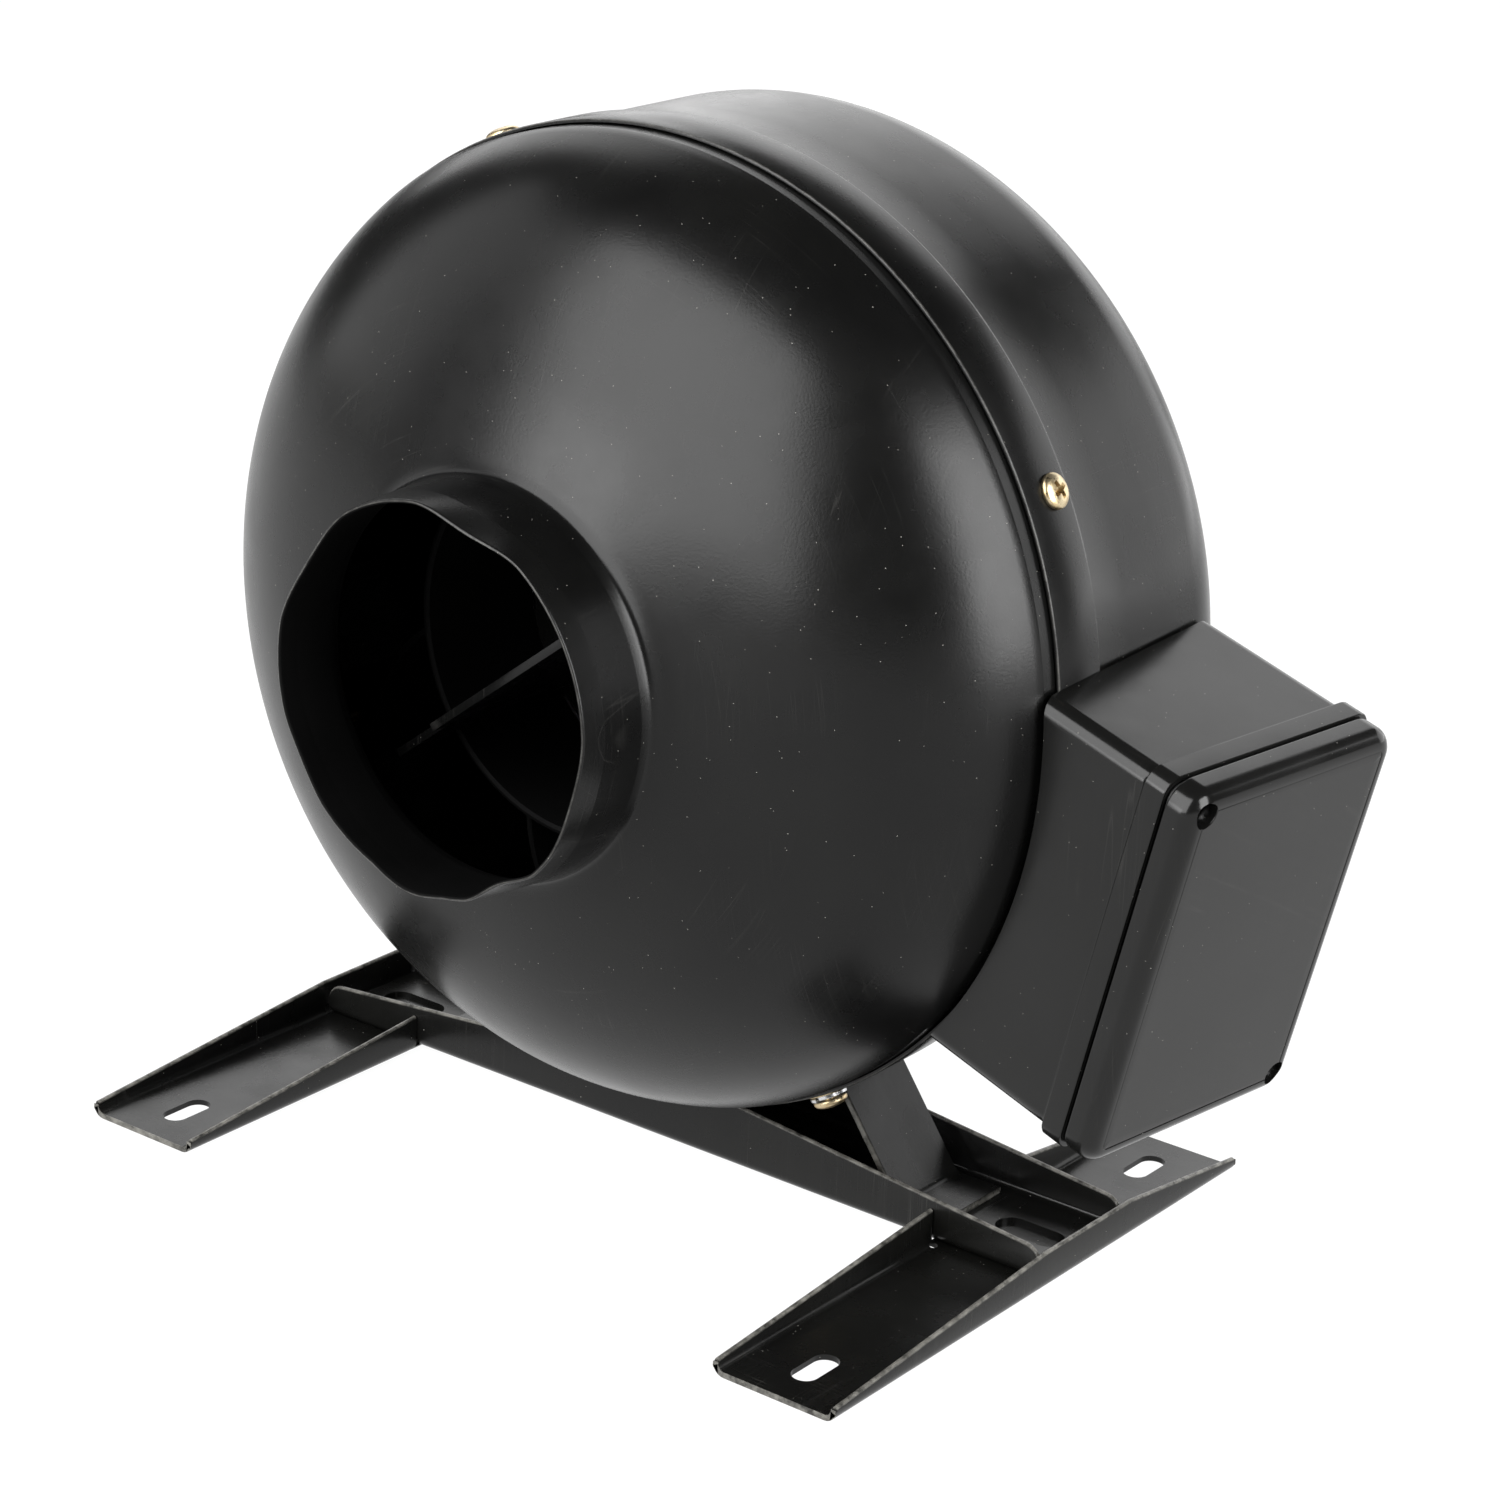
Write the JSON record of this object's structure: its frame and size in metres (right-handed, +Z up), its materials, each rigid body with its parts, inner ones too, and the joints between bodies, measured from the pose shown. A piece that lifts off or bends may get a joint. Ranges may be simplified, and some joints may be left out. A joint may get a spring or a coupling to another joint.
{
  "type": "inline duct fan",
  "caption": "Round inline duct fan in two domed steel shells with a spigot at each end, a junction box on its side and a strap saddle on a low channel stand.",
  "frame": {"origin": "on the floor that the feet stand on, at the middle of the outline seen from above", "axes": "+Z up; Y along the fan's axis, with air coming in at +Y and leaving at -Y; +X towards the junction box"},
  "size_m": [0.3098, 0.2234, 0.2772],
  "materials": {
    "powder_coat": "satin black powder coat",
    "stand_paint": "semi-gloss black paint, rubbed bright at the edges",
    "box_plastic": "glossy moulded black plastic",
    "yellow_zinc": "yellow-passivated zinc plate, dulled",
    "bright_zinc": "bright zinc plate",
    "galvanised": "galvanised sheet steel",
    "bearing_steel": "ground bearing steel",
    "lamination": "stacked and varnished electrical steel",
    "copper": "enamelled copper wire",
    "black_rubber": "soft black rubber and nylon",
    "pale_plastic": "pale moulded plastic"
  },
  "bodies": {
    "housing": {"bearing_front": "bearing_steel", "bearing_rear": "bearing_steel", "box_screw_1": "bright_zinc", "box_screw_2": "bright_zinc", "cable_gland": "black_rubber", "capacitor": "pale_plastic", "capacitor_clip": "galvanised", "cross_channel": "stand_paint", "earth_spring_washer": "bright_zinc", "earth_washer": "yellow_zinc", "foot_left": "stand_paint", "foot_right": "stand_paint", "front_shell": "powder_coat", "gland_nut": "black_rubber", "guide_vanes": "powder_coat", "housing_screw_1": "yellow_zinc", "housing_screw_2": "yellow_zinc", "housing_screw_3": "yellow_zinc", "housing_screw_4": "yellow_zinc", "inlet_cone": "galvanised", "junction_box_base": "box_plastic", "junction_box_lid": "box_plastic", "lead_grommet": "black_rubber", "lid_gasket": "black_rubber", "lid_screw_1": "bright_zinc", "lid_screw_2": "bright_zinc", "motor_base": "galvanised", "motor_lead": "black_rubber", "motor_screw_1": "bright_zinc", "motor_screw_2": "bright_zinc", "motor_screw_3": "bright_zinc", "motor_spider": "stand_paint", "outlet_strut": "stand_paint", "rear_shell": "powder_coat", "saddle_bracket": "stand_paint", "saddle_screw_1": "bright_zinc", "saddle_screw_2": "bright_zinc", "stator_core": "lamination", "strut_screw_1": "bright_zinc", "strut_screw_2": "bright_zinc", "terminal_block": "pale_plastic", "winding_front": "copper", "winding_rear": "copper"},
    "rotor": {"rotor_can": "galvanised", "shaft": "bearing_steel", "impeller_backplate": "galvanised", "impeller_shroud": "galvanised", "impeller_blade_1": "galvanised", "impeller_blade_2": "galvanised", "impeller_blade_3": "galvanised", "impeller_blade_4": "galvanised", "impeller_blade_5": "galvanised", "impeller_blade_6": "galvanised", "impeller_blade_7": "galvanised", "impeller_screw_1": "bright_zinc", "impeller_screw_2": "bright_zinc", "impeller_screw_3": "bright_zinc"}
  },
  "joints": [
    {"name": "impeller_spin", "type": "hinge", "parent": "housing", "child": "rotor", "pos_m": [-0.02774, 0.01875, 0.15], "axis": [0, 1, 0], "continuous": true}
  ]
}
